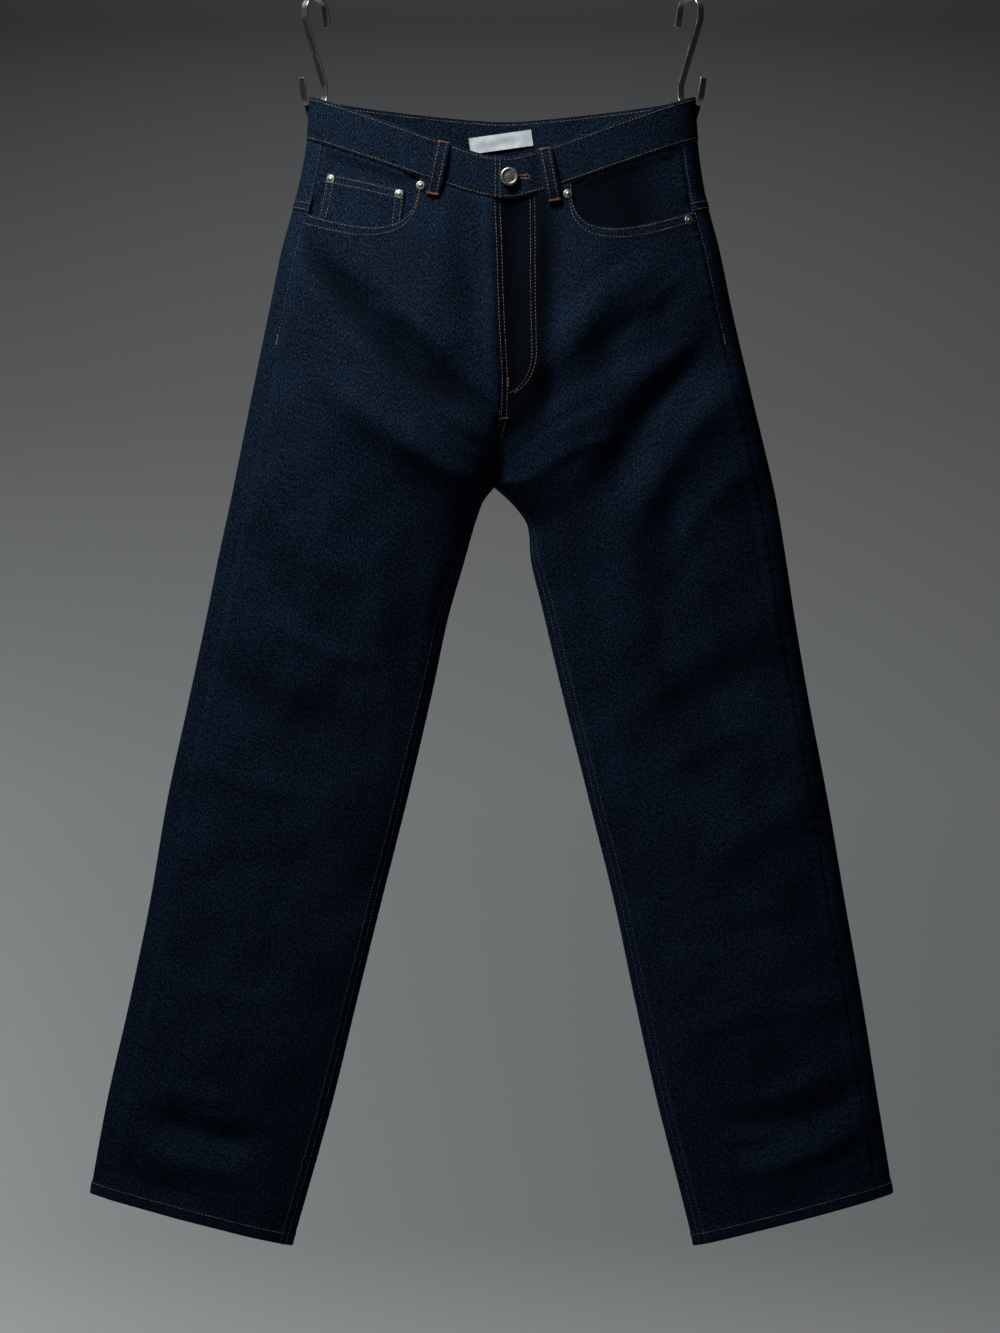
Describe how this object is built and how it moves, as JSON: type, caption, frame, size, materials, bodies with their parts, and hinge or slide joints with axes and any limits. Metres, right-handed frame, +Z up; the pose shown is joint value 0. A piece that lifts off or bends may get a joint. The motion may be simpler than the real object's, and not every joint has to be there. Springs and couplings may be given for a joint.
{
  "type": "straight leg jeans hung from two S-hooks",
  "caption": "Straight leg jeans in dark denim with a waistband, front fly, pockets and belt loops, hung by the side belt loops from S-hooks.",
  "frame": {"origin": "on the line of the rail that the hooks hang from, midway between the undersides of the two hooks' crowns", "axes": "+Z up, +Y from the jeans' front to their back, +X towards the wearer's left side, which is the right side when the front is looked at"},
  "size_m": [0.7665, 0.1221, 1.1955],
  "materials": {
    "denim": "dark indigo right-hand twill, unwashed, with a slubby vertical grain",
    "pewter": "dull pewter-coloured metal",
    "steel": "light brushed metal strip",
    "satin": "white woven satin, bare",
    "zip_tape": "dark woven zip tape"
  },
  "bodies": {
    "root": {"front_right": "denim", "front_left": "denim", "back_right": "denim", "back_left": "denim", "yoke_right": "denim", "yoke_left": "denim", "waistband": "denim", "fly_facing": "denim", "fly_shield": "denim", "pocket_facing_right": "denim", "pocket_facing_left": "denim", "coin_pocket": "denim", "back_pocket_right": "denim", "back_pocket_left": "denim", "belt_loop_front_right": "denim", "belt_loop_front_left": "denim", "belt_loop_side_right": "denim", "belt_loop_side_left": "denim", "belt_loop_back": "denim", "waist_button": "pewter", "rivet_right_inner": "pewter", "rivet_left_inner": "pewter", "rivet_left_outer": "pewter", "rivet_coin_inner": "pewter", "rivet_coin_outer": "pewter", "s_hook_right": "steel", "s_hook_left": "steel", "waist_label": "satin", "fly_zip": "zip_tape"}
  },
  "joints": []
}
